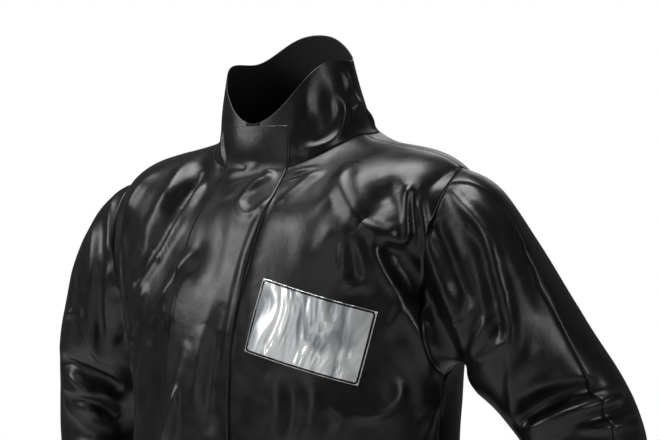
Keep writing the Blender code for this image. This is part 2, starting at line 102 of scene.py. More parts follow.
def joined(names, levels, cover=None):
    """The outer faces of some nodes as one smooth sheet. A face's material index is its node's place, or
    that place after the last one where the cover lies over it."""
    sheet = bmesh.new()
    over = surface_of(nodes[cover].data) if cover else None
    for place, node in enumerate(names):
        cloth = outer_face(node)
        for face in cloth.faces:
            centre = face.calc_center_median()
            covered = over and over.find_nearest(centre, FLAP_REACH)[0]
            high_up = over and node == "collar" and abs(centre.x) < FLAP_HALF_WIDTH and centre.y < 0
            face.material_index = place + (len(names) if covered or high_up else 0)
        mesh = bpy.data.meshes.new(node)
        cloth.to_mesh(mesh)
        sheet.from_mesh(mesh)
        cloth.free()
    edge_verts = [vert for vert in sheet.verts if vert.is_boundary]
    bmesh.ops.remove_doubles(sheet, verts=edge_verts, dist=SEAM_REACH)
    bmesh.ops.join_triangles(
        sheet, faces=sheet.faces, cmp_materials=True, angle_face_threshold=1.2, angle_shape_threshold=1.2
    )
    mesh = bpy.data.meshes.new("sheet")
    sheet.to_mesh(mesh)
    sheet.free()
    for place in range(2 * len(names)):
        mesh.materials.append(None)
    rough = bpy.data.objects.new("sheet", mesh)
    bpy.context.collection.objects.link(rough)
    finer = rough.modifiers.new("finer", "SUBSURF")
    finer.levels = finer.render_levels = levels
    finer.boundary_smooth = "PRESERVE_CORNERS"
    fine = bpy.data.meshes.new_from_object(rough.evaluated_get(bpy.context.evaluated_depsgraph_get()))
    bpy.data.objects.remove(rough)
    return fine


# Half of the flap's width where it lies over the collar
FLAP_HALF_WIDTH = 51 * MM
jacket = joined(JACKET, 3, cover="storm_flap")
trousers = joined(TROUSERS, 2)


# The creases of the worn jacket. Coated cloth creases in narrow keen ridges, which fan out from where it
# is pulled, and hangs between them in soft furrows. Each row is one crease, as an eye at one side of the
# suit sees it: three points of it, x to the right and z up from the neck's root, its half width and its
# height, in mm. Those that the photo shows give their points as places in it, px across and py down.
Crease = namedtuple("Crease", "name zone x0 z0 x1 z1 x2 z2 width height keen")
Seen = namedtuple("Seen", "name zone px0 py0 px1 py1 px2 py2 width height keen")
ROOT_PX, ROOT_PY = 297, 137
PX_PER_MM = 0.82
KEEN, SOFT = 0.15, 0.8
# How softly a crease's foot runs out, over how many half widths its ends fade, and how often it is smoothed
FOOT = 1.5
ENDS = 1.8
SMOOTHED = 2
FRONTS = ("front_left", "front_right", "zip_tape")
LEFT_SLEEVE = ("sleeve_front_left", "sleeve_back_left")
RIGHT_SLEEVE = ("sleeve_front_right", "sleeve_back_right")
LEFT_SHOULDER = FRONTS + LEFT_SLEEVE
COLLAR = ("collar",)
BACK = ("back",)
SEEN_CREASES = (
    Seen("neck_loop_top", FRONTS, 272, 176, 255, 185, 240, 203, 10, 3.5, KEEN),
    Seen("neck_loop_foot", FRONTS, 240, 203, 250, 213, 272, 197, 10, 3.5, KEEN),
    Seen("neck_tuck", FRONTS, 262, 168, 268, 173, 272, 180, 8, 3, KEEN),
    Seen("neck_ray_1", FRONTS, 285, 175, 300, 171, 322, 167, 9, 3, KEEN),
    Seen("neck_ray_2", FRONTS, 280, 185, 298, 179, 318, 172, 9, 2.5, KEEN),
    Seen("neck_ray_3", FRONTS, 325, 169, 302, 184, 278, 204, 11, 3.5, KEEN),
    Seen("neck_ray_4", FRONTS, 337, 178, 328, 196, 317, 214, 12, 2.5, SOFT),
    Seen("flap_crease_1", FRONTS, 226, 166, 250, 155, 278, 147, 10, 2, KEEN),
    Seen("flap_crease_2", FRONTS, 226, 175, 250, 168, 264, 159, 10, 2, KEEN),
    Seen("flap_crease_3", FRONTS, 222, 196, 248, 186, 274, 178, 12, 2, SOFT),
    Seen("flap_side_top", FRONTS, 268, 202, 250, 245, 239, 285, 12, 3.5, KEEN),
    Seen("flap_side_foot", FRONTS, 239, 285, 231, 325, 224, 372, 13, 3.5, KEEN),
    Seen("flap_side_low", FRONTS, 248, 262, 243, 290, 240, 335, 9, 2.5, KEEN),
    Seen("flap_side_dip", FRONTS, 226, 300, 212, 350, 206, 410, 18, -3, SOFT),
    Seen("bowl_rim_1", LEFT_SHOULDER, 354, 162, 344, 182, 351, 204, 18, 7, SOFT),
    Seen("bowl_rim_2", LEFT_SHOULDER, 351, 204, 366, 225, 388, 234, 14, 8, SOFT),
    Seen("bowl_rim_3", LEFT_SHOULDER, 388, 234, 403, 240, 407, 222, 9, 8, SOFT),
    Seen("bowl_hook", LEFT_SHOULDER, 407, 222, 407, 200, 409, 184, 7, 8, SOFT),
    Seen("hook_inside", LEFT_SHOULDER, 414, 190, 414, 206, 415, 228, 7, -6, SOFT),
    Seen("cap_ridge_1", LEFT_SHOULDER, 417, 184, 420, 208, 427, 238, 9, 8, KEEN),
    Seen("cap_ridge_2", LEFT_SHOULDER, 427, 238, 441, 276, 458, 322, 14, 8, KEEN),
    Seen("cap_ridge_3", LEFT_SHOULDER, 458, 322, 463, 340, 465, 356, 12, 5, KEEN),
    Seen("bowl_floor", LEFT_SHOULDER, 378, 174, 386, 194, 397, 214, 24, -7, SOFT),
    Seen("pit_edge_1", FRONTS, 372, 236, 380, 262, 392, 284, 11, 7, KEEN),
    Seen("pit_edge_2", FRONTS, 392, 284, 398, 292, 402, 300, 10, 5, KEEN),
    Seen("pit_floor_1", LEFT_SHOULDER, 388, 248, 410, 274, 430, 310, 24, -15, SOFT),
    Seen("pit_floor_2", LEFT_SHOULDER, 430, 310, 442, 335, 456, 356, 18, -10, SOFT),
    Seen("pit_roof", LEFT_SHOULDER, 380, 246, 392, 249, 406, 254, 14, -6, SOFT),
    Seen("tent_left", FRONTS, 346, 222, 344, 246, 347, 274, 11, 5, KEEN),
    Seen("tent_right", FRONTS, 350, 222, 360, 250, 370, 284, 11, 5, KEEN),
    Seen("tent_between", FRONTS, 350, 256, 353, 268, 358, 282, 12, -4, SOFT),
    Seen("tent_foot", FRONTS, 345, 290, 358, 284, 372, 288, 9, 4, SOFT),
    Seen("drape_1", FRONTS, 335, 214, 326, 240, 316, 268, 20, 2, SOFT),
    Seen("drape_2", FRONTS, 300, 208, 304, 240, 300, 268, 22, 2, SOFT),
    Seen("side_fold_1", FRONTS, 400, 298, 418, 333, 432, 372, 16, 6, KEEN),
    Seen("side_fold_2", FRONTS, 432, 372, 438, 390, 437, 408, 12, 5, KEEN),
    Seen("side_fold_3", FRONTS, 437, 408, 430, 422, 423, 442, 12, 4, KEEN),
    Seen("side_fold_4", FRONTS, 400, 298, 396, 315, 386, 334, 12, 5, KEEN),
    Seen("side_fold_5", FRONTS, 400, 340, 418, 375, 424, 412, 18, 4, SOFT),
    Seen("side_tuck_1", FRONTS, 432, 367, 446, 362, 460, 358, 9, 5, KEEN),
    Seen("side_tuck_2", FRONTS, 431, 336, 440, 346, 456, 355, 12, 5, KEEN),
    Seen("side_tuck_3", FRONTS, 440, 400, 428, 408, 417, 420, 12, 4, KEEN),
    Seen("side_fall", FRONTS, 458, 384, 450, 410, 441, 441, 13, 5, KEEN),
    Seen("under_panel_1", FRONTS, 398, 380, 399, 397, 384, 410, 13, 5, KEEN),
    Seen("under_panel_2", FRONTS, 384, 410, 366, 414, 348, 408, 13, 5, KEEN),
    Seen("under_panel_3", FRONTS, 325, 408, 338, 412, 353, 421, 11, 3, KEEN),
    Seen("under_panel_4", FRONTS, 310, 378, 313, 402, 306, 440, 16, 4, SOFT),
    Seen("under_panel_5", FRONTS, 270, 372, 276, 405, 268, 441, 16, 4, SOFT),
    Seen("under_panel_6", FRONTS, 290, 380, 292, 410, 286, 441, 14, -4, SOFT),
    Seen("under_panel_7", FRONTS, 350, 410, 344, 426, 334, 442, 14, 3, SOFT),
    Seen("cap_furrow", LEFT_SLEEVE, 432, 208, 446, 252, 470, 308, 16, -8, SOFT),
    Seen("cap_top", LEFT_SLEEVE, 436, 198, 446, 187, 462, 203, 11, 7, KEEN),
    Seen("arm_ridge_1", LEFT_SLEEVE, 462, 203, 484, 230, 494, 266, 14, 9, KEEN),
    Seen("arm_ridge_2", LEFT_SLEEVE, 494, 266, 506, 308, 510, 350, 14, 8, KEEN),
    Seen("arm_ridge_3", LEFT_SLEEVE, 510, 350, 512, 385, 514, 423, 12, 6, KEEN),
    Seen("arm_furrow_1", LEFT_SLEEVE, 470, 226, 484, 264, 500, 340, 15, -9, SOFT),
    Seen("arm_furrow_2", LEFT_SLEEVE, 508, 226, 530, 270, 548, 316, 18, -4, SOFT),
    Seen("arm_crease_1", LEFT_SLEEVE, 500, 302, 484, 328, 468, 358, 12, 5, KEEN),
    Seen("arm_crease_2", LEFT_SLEEVE, 455, 328, 462, 319, 470, 311, 9, 4, KEEN),
    Seen("arm_crease_3", LEFT_SLEEVE, 512, 332, 492, 350, 472, 362, 11, 4, KEEN),
    Seen("arm_crease_4", LEFT_SLEEVE, 530, 345, 522, 368, 512, 388, 14, 4, SOFT),
    Seen("under_arm", LEFT_SLEEVE, 478, 394, 494, 410, 510, 428, 36, -11, SOFT),
    Seen("elbow_furrow_1", LEFT_SLEEVE, 608, 388, 560, 396, 518, 422, 16, -11, SOFT),
    Seen("elbow_ridge_1", LEFT_SLEEVE, 624, 394, 585, 406, 524, 430, 12, 8, KEEN),
    Seen("elbow_ridge_2", LEFT_SLEEVE, 562, 377, 536, 384, 512, 399, 12, 4, KEEN),
    Seen("elbow_furrow_2", LEFT_SLEEVE, 640, 402, 605, 416, 560, 428, 14, -9, SOFT),
    Seen("elbow_ridge_3", LEFT_SLEEVE, 640, 418, 612, 424, 575, 430, 12, 6, KEEN),
    Seen("elbow_furrow_3", LEFT_SLEEVE, 610, 436, 575, 436, 545, 446, 14, -7, SOFT),
    Seen("right_ray_1", FRONTS, 190, 160, 176, 180, 160, 206, 16, 6, KEEN),
    Seen("right_ray_2", FRONTS, 160, 206, 150, 225, 146, 240, 14, 4, KEEN),
    Seen("right_furrow_1", FRONTS, 202, 170, 176, 211, 156, 246, 15, -9, SOFT),
    Seen("right_furrow_2", FRONTS, 156, 246, 144, 268, 132, 286, 13, -7, SOFT),
    Seen("right_ray_3", FRONTS, 206, 180, 182, 216, 158, 254, 15, 7, KEEN),
    Seen("right_ray_4", FRONTS, 158, 254, 145, 274, 136, 296, 13, 5, KEEN),
    Seen("right_cap_1", FRONTS, 156, 172, 138, 190, 128, 214, 14, 6, KEEN),
    Seen("right_cap_2", FRONTS, 128, 214, 123, 236, 122, 262, 11, 5, KEEN),
    Seen("right_edge_1", FRONTS, 122, 262, 126, 300, 133, 346, 9, 6, KEEN),
    Seen("right_edge_2", FRONTS, 133, 346, 131, 380, 126, 410, 9, 5, KEEN),
    Seen("right_neck", FRONTS, 210, 158, 214, 168, 212, 182, 13, 3, SOFT),
    Seen("right_ray_5", FRONTS, 198, 250, 176, 276, 167, 312, 16, 6, KEEN),
    Seen("right_ray_6", FRONTS, 167, 312, 163, 330, 165, 352, 13, 4, KEEN),
    Seen("right_ray_7", FRONTS, 175, 284, 160, 300, 148, 322, 12, 5, KEEN),
    Seen("right_loop_1", FRONTS, 148, 284, 141, 300, 138, 318, 10, 5, KEEN),
    Seen("right_loop_2", FRONTS, 138, 318, 134, 330, 132, 338, 9, 4, KEEN),
    Seen("right_drape_1", FRONTS, 216, 186, 214, 240, 200, 292, 26, -3, SOFT),
    Seen("right_drape_2", FRONTS, 205, 326, 196, 380, 190, 432, 22, 4, SOFT),
    Seen("right_drape_3", FRONTS, 222, 330, 215, 380, 210, 436, 18, -3, SOFT),
    Seen("right_fall_1", FRONTS, 179, 386, 170, 412, 163, 442, 12, 6, KEEN),
    Seen("right_fall_2", FRONTS, 150, 340, 142, 375, 140, 422, 16, 4, SOFT),
    Seen("right_fall_3", FRONTS, 190, 340, 182, 372, 178, 392, 14, 3, SOFT),
    Seen("right_fall_4", FRONTS, 177, 388, 178, 412, 176, 441, 8, 3, KEEN),
    Seen("right_arm_streak", RIGHT_SLEEVE, 113, 197, 111, 226, 110, 258, 11, 7, KEEN),
    Seen("right_arm_fold_1", RIGHT_SLEEVE, 97, 216, 92, 290, 97, 354, 16, 6, SOFT),
    Seen("right_arm_fold_2", RIGHT_SLEEVE, 80, 262, 76, 300, 78, 346, 16, -4, SOFT),
    Seen("right_arm_fold_3", RIGHT_SLEEVE, 109, 262, 106, 310, 110, 350, 13, 5, KEEN),
    Seen("right_arm_fold_4", RIGHT_SLEEVE, 78, 304, 88, 334, 100, 358, 12, 5, KEEN),
    Seen("right_arm_gap", RIGHT_SLEEVE, 118, 282, 120, 312, 126, 345, 12, -9, SOFT),
    Seen("right_arm_furrow", RIGHT_SLEEVE, 103, 262, 101, 306, 104, 346, 12, -4, SOFT),
    Seen("right_arm_tuck", RIGHT_SLEEVE, 60, 319, 66, 314, 73, 312, 8, 4, KEEN),
    Seen("right_elbow_1", RIGHT_SLEEVE, 60, 361, 90, 374, 122, 388, 15, -11, SOFT),
    Seen("right_elbow_2", RIGHT_SLEEVE, 64, 366, 84, 386, 100, 398, 12, 6, KEEN),
    Seen("right_elbow_3", RIGHT_SLEEVE, 99, 389, 112, 396, 126, 404, 11, 5, KEEN),
    Seen("right_elbow_4", RIGHT_SLEEVE, 70, 398, 96, 404, 117, 420, 13, -8, SOFT),
    Seen("right_elbow_5", RIGHT_SLEEVE, 64, 402, 80, 418, 101, 436, 15, 5, KEEN),
    Seen("right_elbow_6", RIGHT_SLEEVE, 62, 384, 78, 394, 92, 398, 9, 4, KEEN),
    Seen("collar_corner", COLLAR, 223, 128, 223, 145, 224, 162, 8, 4, KEEN),
    Seen("collar_fold_1", COLLAR, 335, 92, 344, 106, 341, 124, 11, 5, KEEN),
    Seen("collar_fold_2", COLLAR, 341, 124, 330, 142, 299, 149, 11, 5, KEEN),
    Seen("collar_fold_3", COLLAR, 342, 70, 347, 78, 348, 92, 9, 4, KEEN),
    Seen("collar_fold_4", COLLAR, 352, 91, 356, 102, 354, 118, 9, 4, KEEN),
    Seen("collar_fold_5", COLLAR, 366, 108, 371, 118, 374, 128, 9, 4, KEEN),
    Seen("collar_fold_6", COLLAR, 350, 112, 354, 104, 362, 102, 8, 4, KEEN),
    Seen("collar_dent_1", COLLAR, 300, 109, 307, 125, 296, 143, 15, -3, SOFT),
    Seen("collar_dent_2", COLLAR, 322, 80, 319, 104, 326, 130, 17, -4, SOFT),
)
# Creases below the photo's edge and on the back, with the side that each one is seen from
HIDDEN_CREASES = (
    (180, Crease("back_neck_1", BACK, -60, -30, -30, -60, -20, -110, 20, 4.8, SOFT)),
    (180, Crease("back_neck_2", BACK, 58, -34, 40, -70, 34, -128, 17, 4.8, SOFT)),
    (180, Crease("back_blade_1", BACK, -170, -90, -130, -160, -120, -240, 18, 7.2, KEEN)),
    (180, Crease("back_blade_2", BACK, 176, -80, 140, -150, 118, -250, 18, 7.2, KEEN)),
    (180, Crease("back_blade_3", BACK, -186, -140, -160, -200, -150, -290, 17, 6, KEEN)),
    (180, Crease("back_blade_4", BACK, 190, -130, 166, -210, 160, -300, 17, 6, KEEN)),
    (180, Crease("back_waist_1", BACK, -120, -360, -40, -392, 50, -380, 20, 6, SOFT)),
    (180, Crease("back_waist_2", BACK, -60, -410, 20, -436, 120, -400, 18, 6, SOFT)),
    (180, Crease("back_waist_3", BACK, -150, -430, -90, -462, 0, -458, 17, 4.8, KEEN)),
    (180, Crease("back_fall_1", BACK, -90, -480, -84, -580, -98, -700, 25, 6, SOFT)),
    (180, Crease("back_fall_2", BACK, -20, -500, -28, -600, -18, -715, 22, 4.8, SOFT)),
    (180, Crease("back_fall_3", BACK, 60, -470, 72, -590, 62, -705, 25, 6, SOFT)),
    (180, Crease("back_fall_4", BACK, 130, -500, 124, -600, 138, -710, 21, 4.8, SOFT)),
    (180, Crease("back_fall_5", BACK, -150, -520, -156, -620, -146, -712, 21, 4.8, SOFT)),
    (0, Crease("front_fall_1", FRONTS, 70, -400, 80, -520, 70, -690, 22, 6, SOFT)),
    (0, Crease("front_fall_2", FRONTS, 130, -430, 122, -560, 136, -700, 22, 6, SOFT)),
    (0, Crease("front_fall_3", FRONTS, -90, -420, -98, -560, -84, -706, 22, 6, SOFT)),
    (0, Crease("front_fall_4", FRONTS, -150, -440, -142, -570, -156, -700, 21, 4.8, SOFT)),
    (0, Crease("front_fall_5", FRONTS, 100, -480, 106, -600, 98, -712, 18, -4.8, SOFT)),
    (0, Crease("front_fall_6", FRONTS, -120, -470, -114, -600, -124, -712, 18, -4.8, SOFT)),
    (0, Crease("front_waist_1", FRONTS, 50, -455, 110, -470, 180, -440, 17, 4.8, KEEN)),
    (0, Crease("front_waist_2", FRONTS, -60, -470, -120, -486, -190, -450, 17, 4.8, KEEN)),
    (60, Crease("left_forearm_1", LEFT_SLEEVE, 190, -420, 230, -440, 262, -430, 17, 6, KEEN)),
    (60, Crease("left_forearm_2", LEFT_SLEEVE, 180, -470, 214, -486, 250, -470, 15, 4.8, KEEN)),
    (20, Crease("left_forearm_3", LEFT_SLEEVE, 300, -440, 310, -500, 290, -570, 18, 4.8, SOFT)),
    (20, Crease("left_forearm_4", LEFT_SLEEVE, 350, -430, 340, -500, 312, -560, 17, 4.8, SOFT)),
    (0, Crease("right_forearm_1", RIGHT_SLEEVE, -400, -430, -360, -446, -320, -436, 17, 6, KEEN)),
    (0, Crease("right_forearm_2", RIGHT_SLEEVE, -380, -480, -345, -494, -300, -480, 15, 4.8, KEEN)),
    (0, Crease("right_forearm_3", RIGHT_SLEEVE, -350, -450, -340, -510, -318, -580, 18, 4.8, SOFT)),
)


def on_plane(seen):
    """A crease that the photo shows, in mm on the upright plane through the neck's root."""
    x0, x1, x2 = (round((px - ROOT_PX) / PX_PER_MM) for px in (seen.px0, seen.px1, seen.px2))
    z0, z1, z2 = (round((ROOT_PY - py) / PX_PER_MM) for py in (seen.py0, seen.py1, seen.py2))
    return Crease(seen.name, seen.zone, x0, z0, x1, z1, x2, z2, seen.width, seen.height, seen.keen)


EYE_DISTANCE = 3.1
EYE_HEIGHT = -0.1
LINE_STEPS = 8
PHOTO_SIDE = 40
OTHER_SIDE = {
    FRONTS: BACK,
    LEFT_SLEEVE: RIGHT_SLEEVE,
    RIGHT_SLEEVE: LEFT_SLEEVE,
    LEFT_SHOULDER: BACK + RIGHT_SLEEVE,
    COLLAR: COLLAR,
}


def crease_line(crease, side, surface):
    """Points of a crease on the cloth, where an eye that stands at this side of the suit sees it."""
    turn = math.radians(side)
    right = Vector((math.cos(turn), math.sin(turn), 0))
    eye = Vector((EYE_DISTANCE * math.sin(turn), -EYE_DISTANCE * math.cos(turn), EYE_HEIGHT))
    line = []
    for step in range(LINE_STEPS + 1):
        t = step / LINE_STEPS
        shares = ((1 - t) * (1 - 2 * t), 4 * t * (1 - t), t * (2 * t - 1))
        x = shares[0] * crease.x0 + shares[1] * crease.x1 + shares[2] * crease.x2
        z = shares[0] * crease.z0 + shares[1] * crease.z1 + shares[2] * crease.z2
        aim = right * x * MM + Vector((0, 0, z * MM)) - eye
        hit = surface.ray_cast(eye, aim.normalized())[0]
        if hit:
            line.append(hit)
    return np.array(line)


def heights_near(points, run):
    """How far a run of creases moves each point: its height on the line, and nothing at its foot or ends."""
    line, sizes, keen = run
    lengths = np.linalg.norm(np.diff(line, axis=0), axis=1)
    begins = np.concatenate([[0], np.cumsum(lengths)])
    best = np.zeros(len(points))
    for step in range(len(line) - 1):
        along = line[step + 1] - line[step]
        t = np.clip((points - line[step]) @ along / max(along @ along, 1e-12), 0, 1)
        width = (1 - t) * sizes[step][0] + t * sizes[step + 1][0]
        height = (1 - t) * sizes[step][1] + t * sizes[step + 1][1]
        gone = np.linalg.norm(points - line[step] - t[:, None] * along, axis=1) / width
        from_end = begins[step] + t * lengths[step]
        from_end = np.minimum(from_end, begins[-1] - from_end) / (ENDS * width)
        share = 1 - (np.sqrt(gone**2 + keen**2) - keen) / (math.sqrt(1 + keen**2) - keen)
        share = np.clip(share, 0, 1) ** FOOT * (0.1 + 0.9 * np.sin(np.pi / 2 * np.clip(from_end, 0, 1)))
        best = np.where(np.abs(height * share) > np.abs(best), height * share, best)
    return best


def runs_on(crease, last):
    """Whether a crease starts where the last one ends, as the next stretch of one fold."""
    return last and crease.zone == last.zone and (crease.x0, crease.z0) == (last.x2, last.z2)


def columns(mesh, what):
    """A mesh's points ("co") or the normals at them, one to a row."""
    values = np.zeros(len(mesh.vertices) * 3, np.float32)
    if what == "co":
        mesh.vertices.foreach_get("co", values)
    else:
        mesh.vertex_normals.foreach_get("vector", values)
    return values.reshape(-1, 3).astype(float)


def wrinkle_at(x, y, z):
    """The height of the small wrinkles at a point, in mm: broad swells, fine ripples and a few keen folds."""
    swell = noise.noise((x * 12, y * 12, z * 5))
    ripple = noise.noise((x * 30 + 7, y * 30, z * 12))
    fold = 0.5 - abs(noise.noise((x * 16 + z * 6, y * 16 - z * 5, z * 6 + 3)))
    return swell + 0.25 * ripple + 1.5 * fold**2


def pressed(mesh, names, placed, wrinkle):
    """How far each point moves out or in: along the creases, and in the small wrinkles between them."""
    points, out = columns(mesh, "co"), columns(mesh, "normal")
    trees, members = {}, {}
    move = np.zeros(len(points))
    runs, last = [], None
    for side, crease in placed:
        if crease.zone not in trees:
            wanted = {names.index(name) + shift for name in crease.zone for shift in (0, len(names))}
            trees[crease.zone] = surface_of(mesh, wanted)
            there = [face for face in mesh.polygons if face.material_index in wanted]
            members[crease.zone] = np.array(sorted({vert for face in there for vert in face.vertices}))
        line = crease_line(crease, side, trees[crease.zone])
        if len(line) < 3:
            last = None
            continue
        sizes = np.array([(crease.width * MM, crease.height * MM)] * len(line))
        if runs_on(crease, last):
            before = runs[-1]
            line = np.concatenate([before[1][0], line[1:]])
            sizes = np.concatenate([before[1][1], sizes[1:]])
            runs.pop()
        runs.append((crease.zone, (line, sizes, crease.keen)))
        last = crease
    for zone, run in runs:
        width = run[1][:, 0].max()
        those = members[zone]
        close = (points[those] > run[0].min(0) - width) & (points[those] < run[0].max(0) + width)
        those = those[np.all(close, axis=1)]
        move[those] += heights_near(points[those], run)
    for index, (x, y, z) in enumerate(points):
        move[index] += wrinkle * MM * wrinkle_at(x, y, z)
    ends = np.array([edge.vertices[:] for edge in mesh.edges])
    beside = np.bincount(ends.ravel(), minlength=len(points))
    for _ in range(SMOOTHED):
        total = np.bincount(ends[:, 0], move[ends[:, 1]], len(points))
        total += np.bincount(ends[:, 1], move[ends[:, 0]], len(points))
        move = 0.5 * move + 0.5 * total / beside
    return points, out, move


# Each crease that is seen, except those at the neck, on the flap, under the panel and on the collar, has one
# like it on the hidden side, a little lower and some way off its place
HIDDEN_SHARE = 0.8
seen_creases = [on_plane(seen) for seen in SEEN_CREASES]
placed = [(PHOTO_SIDE, crease) for crease in seen_creases]
number, last = 0, None
for crease in seen_creases:
    number += 0 if runs_on(crease, last) else 1
    last = crease
    across, down = 9 * math.sin(2.1 * number), 12 * math.cos(1.7 * number)
    other = crease._replace(
        zone=OTHER_SIDE[crease.zone],
        x0=crease.x0 + across,
        x1=crease.x1 + across,
        x2=crease.x2 + across,
        z0=crease.z0 + down,
        z1=crease.z1 + down,
        z2=crease.z2 + down,
        height=crease.height * HIDDEN_SHARE,
    )
    if not crease.name.startswith(("neck", "flap", "under_panel", "collar")):
        placed.append((PHOTO_SIDE + 180, other))
placed += HIDDEN_CREASES
JACKET_WRINKLE = 1.0
points, out, move = pressed(jacket, JACKET, placed, JACKET_WRINKLE)

# Where two pieces are sewn together the cloth is drawn in to a narrow groove
SEAM_DEPTH = 0.7 * MM
SEAM_WIDTH = 2.6 * MM
POINTS_AT_ONCE, SEAMS_AT_ONCE = 4000, 800


def seam_points(mesh, count):
    """The indices of the points where pieces meet."""
    first, seams, hidden = {}, set(), set()
    for face in mesh.polygons:
        piece = face.material_index % count
        for vert in face.vertices:
            if first.setdefault(vert, piece) != piece:
                seams.add(vert)
        if face.material_index >= count:
            hidden.update(face.vertices)
    return sorted(seams - hidden)


def drawn_in(mesh, count, points, move):
    """Draws the cloth in along its seams."""
    seams = points[seam_points(mesh, count)]
    for start in range(0, len(points), POINTS_AT_ONCE):
        part = points[start : start + POINTS_AT_ONCE]
        near = np.full(len(part), 1.0)
        for begin in range(0, len(seams), SEAMS_AT_ONCE):
            some = seams[None, begin : begin + SEAMS_AT_ONCE]
            near = np.minimum(near, np.linalg.norm(part[:, None] - some, axis=2).min(1))
        move[start : start + POINTS_AT_ONCE] -= SEAM_DEPTH * np.exp(-((near / SEAM_WIDTH) ** 2))


def settle(mesh, points, out, move):
    """Moves a mesh's points along their normals."""
    mesh.vertices.foreach_set("co", (points + out * move[:, None]).astype(np.float32).ravel())
    mesh.update()


# The chest panel's place: its centre, the way it faces and its tilt. The cloth under it is held nearly flat,
# which fades out round its edge.
PANEL_WIDTH, PANEL_HEIGHT = 144 * MM, 88 * MM
PANEL_FACING, PANEL_TILT = math.radians(19), math.radians(15)
PANEL_CENTRE = Vector((126.5, -133, -228.5)) * MM
level = Vector((math.cos(PANEL_FACING), math.sin(PANEL_FACING), 0))
panel_across = level * math.cos(PANEL_TILT) - Vector((0, 0, math.sin(PANEL_TILT)))
panel_up = level * math.sin(PANEL_TILT) + Vector((0, 0, math.cos(PANEL_TILT)))
offset = points - np.array(PANEL_CENTRE)
beyond_sides = np.abs(offset @ np.array(panel_across)) - PANEL_WIDTH / 2
beyond_top = np.abs(offset @ np.array(panel_up)) - PANEL_HEIGHT / 2
HELD_EDGE = 14 * MM
HELD_SHARE = 0.22
loose = np.clip(np.maximum(beyond_sides, beyond_top) / HELD_EDGE, 0, 1)
loose[points[:, 1] > 0] = 1
move *= HELD_SHARE + (1 - HELD_SHARE) * loose
drawn_in(jacket, len(JACKET), points, move)
settle(jacket, points, out, move)


# Black polyurethane coated on a fine knit: a smooth, slightly rubbery film with a soft gloss. Its skin has
# a fine leathery grain about 0.7 mm wide, and is duller where it has been rubbed.
def linear(hexes):
    """Colours are sRGB hex, which Blender wants linear."""
    parts = [int(hexes[k : k + 2], 16) / 255 for k in (0, 2, 4)]
    return (*(((c + 0.055) / 1.055) ** 2.4 if c > 0.04045 else c / 12.92 for c in parts), 1)


def node(tree, kind, links=(), **settings):
    """Adds a node with its settings, and its inputs linked: (input, node, output)."""
    made = tree.nodes.new(kind)
    for key, value in settings.items():
        if key.startswith("in_"):
            name = key[3:].replace("_", " ")
            made.inputs[int(name) if name.isdigit() else name].default_value = value
        else:
            setattr(made, key, value)
    for socket, source, output in links:
        tree.links.new(source.outputs[output], made.inputs[socket])
    return made


def finish_of(name, base, roughness, metallic=0.0, **shader_values):
    """A material of one colour: itself, its node tree and its shader."""
    made = bpy.data.materials.new(name)
    made.use_nodes = True
    shader = made.node_tree.nodes["Principled BSDF"]
    shader.inputs["Base Color"].default_value = linear(base)
    shader.inputs["Roughness"].default_value = roughness
    shader.inputs["Metallic"].default_value = metallic
    for key, value in shader_values.items():
        shader.inputs[key.replace("_", " ")].default_value = value
    return made, made.node_tree, shader


coated, tree, shader = finish_of("polyurethane_coated_knit", "0e0e10", 0.36, IOR=1.47)
place = node(tree, "ShaderNodeTexCoord")
rubbed = node(tree, "ShaderNodeTexNoise", [("Vector", place, "Object")], in_Scale=38.0, in_Detail=6.0)
dull = node(tree, "ShaderNodeMapRange", [("Value", rubbed, "Fac")], in_From_Min=0.3, in_From_Max=0.7)
dull.inputs["To Min"].default_value, dull.inputs["To Max"].default_value = 0.26, 0.40
tree.links.new(dull.outputs["Result"], shader.inputs["Roughness"])
tone = node(tree, "ShaderNodeMix", [("Factor", rubbed, "Fac")], data_type="RGBA")
tone.inputs[6].default_value, tone.inputs[7].default_value = linear("0b0b0d"), linear("161618")
tree.links.new(tone.outputs[2], shader.inputs["Base Color"])
grain = node(tree, "ShaderNodeTexNoise", [("Vector", place, "Object")], in_Scale=1400.0, in_Detail=3.0)
ripple = node(tree, "ShaderNodeTexNoise", [("Vector", place, "Object")], in_Scale=75.0, in_Detail=4.0)
ripple.inputs["Distortion"].default_value = 0.6
soft = node(tree, "ShaderNodeBump", [("Height", ripple, "Fac")], in_Strength=0.22, in_Distance=0.0014)
fine = node(tree, "ShaderNodeBump", [("Height", grain, "Fac"), ("Normal", soft, "Normal")], in_Strength=0.12)
fine.inputs["Distance"].default_value = 0.0003
tree.links.new(fine.outputs["Normal"], shader.inputs["Normal"])

# The inside of the cloth is the bare knit, matt black
knit, tree, shader = finish_of("knitted_polyester_backing", "141416", 0.92)
place = node(tree, "ShaderNodeTexCoord")
loops = node(tree, "ShaderNodeTexNoise", [("Vector", place, "Object")], in_Scale=900.0, in_Detail=2.0)
rough = node(tree, "ShaderNodeBump", [("Height", loops, "Fac")], in_Strength=0.3, in_Distance=0.0004)
tree.links.new(rough.outputs["Normal"], shader.inputs["Normal"])


# The jacket's cloth pieces and the zip tape. Each is cut out of the shell and gets its own thickness. The
# cloth pieces have the coating outside and the bare knit on their inner face, and the zip tape is bare knit
# on both faces.
def cut_from(mesh, wanted):
    """The faces of a sheet that have the wanted material indices, as a bmesh."""
    piece = bmesh.new()
    piece.from_mesh(mesh)
    spare = [face for face in piece.faces if face.material_index not in wanted]
    bmesh.ops.delete(piece, geom=spare, context="FACES")
    for face in piece.faces:
        face.material_index = 0
        face.smooth = True
    return piece


